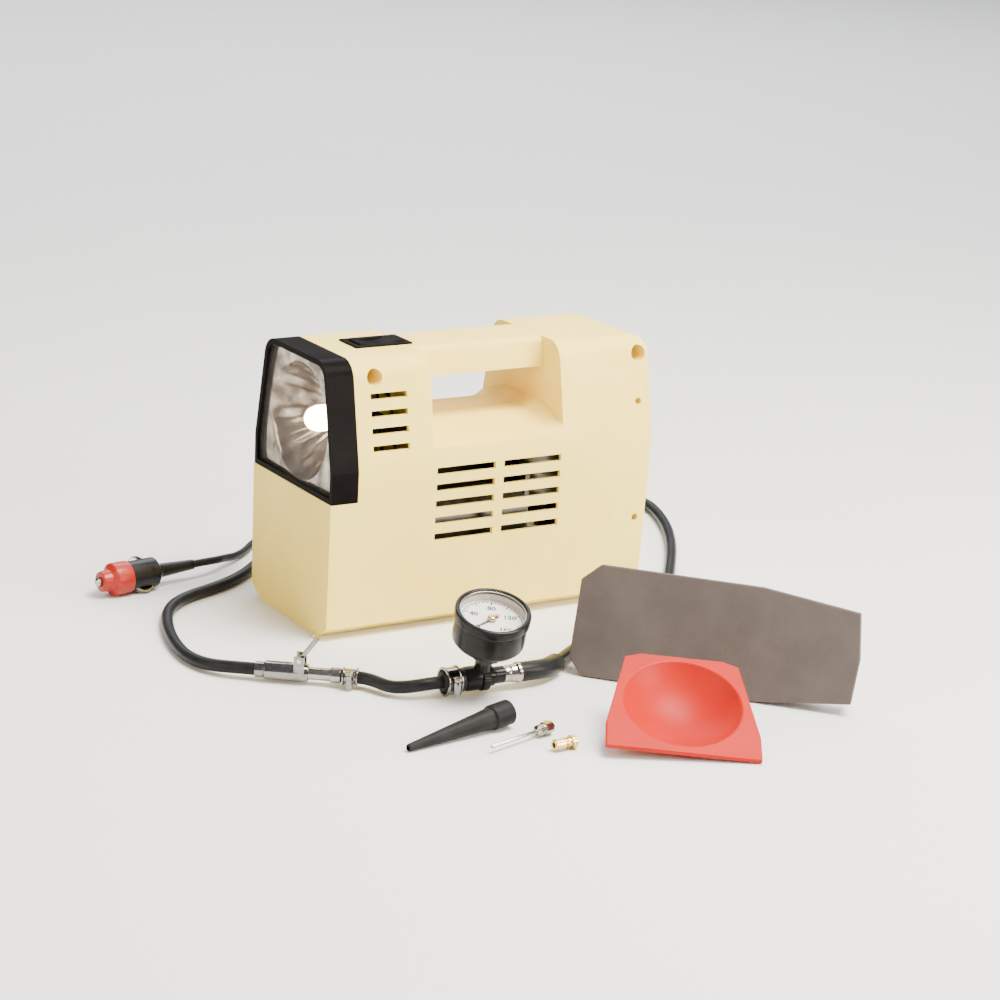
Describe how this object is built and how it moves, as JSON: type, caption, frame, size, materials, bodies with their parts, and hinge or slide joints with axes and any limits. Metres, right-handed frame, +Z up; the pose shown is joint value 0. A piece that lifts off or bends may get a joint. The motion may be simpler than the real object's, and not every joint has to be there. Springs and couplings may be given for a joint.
{
  "type": "tire inflator",
  "caption": "Portable 12 V tire inflator with a carry handle, work light, air hose with gauge and chuck, power cord with lighter plug, cover, red lens and adapters.",
  "frame": {"origin": "middle of the housing's flat bottom, on the surface it stands on", "axes": "+Z up; +X from the lamp to the back of the housing; +Y away from the side with the air slots; the housing's seam is the plane y = 0"},
  "size_m": [0.443, 0.5049, 0.1726],
  "materials": {
    "housing_plastic": "fine moulded grain, matte",
    "hood_plastic": "satin black",
    "clear_plastic": "clear",
    "reflector_chrome": "bright vacuum plating with concentric facets",
    "lamp_glass": "clear",
    "bright_steel": "bright, lightly brushed",
    "switch_plastic": "satin black",
    "can_steel": "zinc plated",
    "magnet_ferrite": "sintered, matte",
    "winding_copper": "varnished windings",
    "gear_brass": "machined",
    "gear_nylon": "natural nylon",
    "frame_steel": "zinc plated",
    "pump_aluminium": "die cast",
    "black_rubber": "matte, slightly glossy",
    "wire_sheath": "smooth",
    "plug_red": "glossy red",
    "plug_black": "satin black",
    "nickel": "nickel plated, satin",
    "gauge_black": "satin black",
    "dial_white": "matte white with plain numbers",
    "needle_black": "matte black",
    "cover_plastic": "fine moulded grain, matte",
    "lens_red": "clear red, glossy",
    "nozzle_plastic": "satin black"
  },
  "bodies": {
    "root": {"near_shell": "housing_plastic", "far_shell": "housing_plastic", "shell_screws": "bright_steel", "lamp_bezel": "hood_plastic", "lamp_pane": "clear_plastic", "reflector": "reflector_chrome", "bulb_glass": "lamp_glass", "bulb_base": "bright_steel", "switch_frame": "switch_plastic", "motor_can": "can_steel", "motor_end_cap": "can_steel", "motor_magnets": "magnet_ferrite", "crank_bush": "gear_brass", "pump_frame": "frame_steel", "cylinder": "pump_aluminium", "cylinder_head": "pump_aluminium", "head_screws": "bright_steel", "hose_gland": "plug_black", "cord_relief": "black_rubber", "outlet_tube": "black_rubber", "inner_wires": "wire_sheath", "power_cord": "black_rubber", "cord_coil": "black_rubber", "coil_tie": "plug_black", "plug_nose": "plug_red", "plug_body": "plug_black", "plug_contacts": "nickel", "tip_spring": "bright_steel", "air_hose": "black_rubber", "chuck_body": "nickel", "chuck_pin": "bright_steel", "stem_adaptor": "nickel", "hose_clamps": "bright_steel", "gauge_hose_short": "black_rubber", "tee_body": "gauge_black", "ferrule": "nickel", "hose_sleeve": "black_rubber", "gauge_hose_long": "black_rubber", "tyre_connector": "gear_brass", "gauge_case": "gauge_black", "gauge_ring": "gauge_black", "gauge_glass": "clear_plastic", "gauge_dial": "dial_white", "gauge_movement": "gear_brass", "nozzle_adaptor": "nozzle_plastic", "ball_needle": "nickel", "valve_adaptor": "gear_brass"},
    "rocker": {"rocker_button": "switch_plastic"},
    "crank": {"crank_gear": "gear_nylon", "crank_pins": "bright_steel"},
    "rotor": {"motor_shaft": "bright_steel", "armature": "winding_copper", "pinion": "gear_brass"},
    "piston": {"piston": "pump_aluminium", "connecting_rod": "pump_aluminium"},
    "needle": {"gauge_needle": "needle_black"},
    "lever": {"chuck_lever": "nickel"},
    "tip": {"plug_tip": "nickel"},
    "cover": {"storage_cover": "cover_plastic"},
    "lens": {"red_lens": "lens_red"}
  },
  "joints": [
    {"name": "rocker_tilt", "type": "hinge", "parent": "root", "child": "rocker", "pos_m": [-0.0594, 0, 0.168], "axis": [0, 1, 0], "range_deg": [-10, 10]},
    {"name": "crank_turn", "type": "hinge", "parent": "root", "child": "crank", "pos_m": [0.0375, -0.022, 0.033], "axis": [1, 0, 0], "continuous": true},
    {"name": "rotor_turn", "type": "hinge", "parent": "root", "child": "rotor", "pos_m": [0, -0.022, 0.062], "axis": [1, 0, 0], "continuous": true},
    {"name": "piston_stroke", "type": "slide", "parent": "root", "child": "piston", "axis": [0, 0, 1], "range_m": [-0.012, 0]},
    {"name": "needle_turn", "type": "hinge", "parent": "root", "child": "needle", "pos_m": [-0.07421, -0.17404, 0.04868], "axis": [0.0537, 0.3043, -0.9511], "range_deg": [0, 270], "stiffness_Nm_per_rad": 0.00002},
    {"name": "lever_lift", "type": "hinge", "parent": "root", "child": "lever", "pos_m": [-0.16023, -0.10615, 0.0149], "axis": [0.6018, 0.7986, 0], "range_deg": [-80, 0]},
    {"name": "tip_press", "type": "slide", "parent": "root", "child": "tip", "axis": [0.9877, 0.1564, 0], "range_m": [0, 0.002], "stiffness_N_per_m": 300, "deforming": ["tip_spring"]},
    {"name": "cover_lift", "type": "slide", "parent": "root", "child": "cover", "axis": [0, 0, 1], "range_m": [0, 0.15]},
    {"name": "lens_lift", "type": "slide", "parent": "root", "child": "lens", "axis": [0, 0, 1], "range_m": [0, 0.15]}
  ],
  "couplings": [
    {"joint": "rotor_turn", "follows": "crank_turn", "ratio": -4.8}
  ]
}
